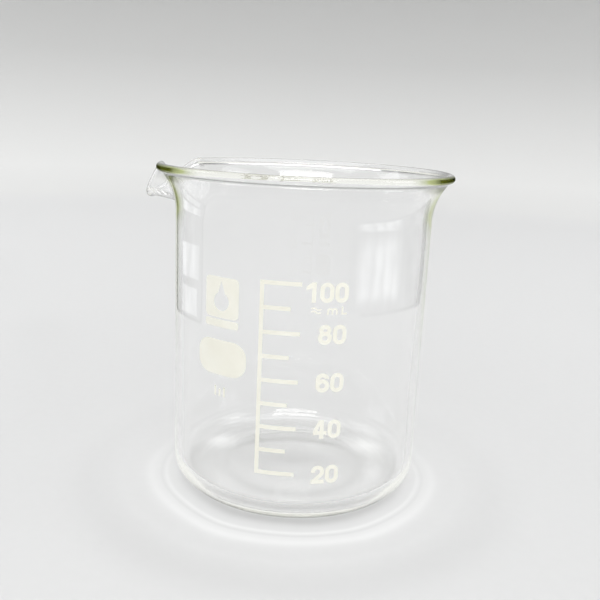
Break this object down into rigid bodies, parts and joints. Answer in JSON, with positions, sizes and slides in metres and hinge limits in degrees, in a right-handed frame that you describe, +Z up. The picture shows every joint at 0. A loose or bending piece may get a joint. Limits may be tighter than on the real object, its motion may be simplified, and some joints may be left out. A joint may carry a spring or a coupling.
{
  "type": "laboratory beaker",
  "caption": "Low-form glass laboratory beaker with a flared, beaded rim, a pouring spout and an enamel volume scale.",
  "frame": {"origin": "centre of the plane that the beaker stands on, on the axis of the body", "axes": "+Z up along the body's axis to the rim, -X along the pouring spout, -Y towards the printed scale"},
  "size_m": [0.0685, 0.063, 0.07],
  "materials": {
    "glass": "clear, fire-polished",
    "enamel": "fired enamel print, satin, ivory white"
  },
  "bodies": {
    "root": {"glass_body": "glass", "scale_spine": "enamel", "long_graduations": "enamel", "short_graduations": "enamel", "numeral_20": "enamel", "numeral_40": "enamel", "numeral_60": "enamel", "numeral_80": "enamel", "numeral_100": "enamel", "unit_legend": "enamel", "emblem_tile": "enamel", "emblem_bar": "enamel", "marking_spot": "enamel", "batch_mark": "enamel"}
  },
  "joints": []
}
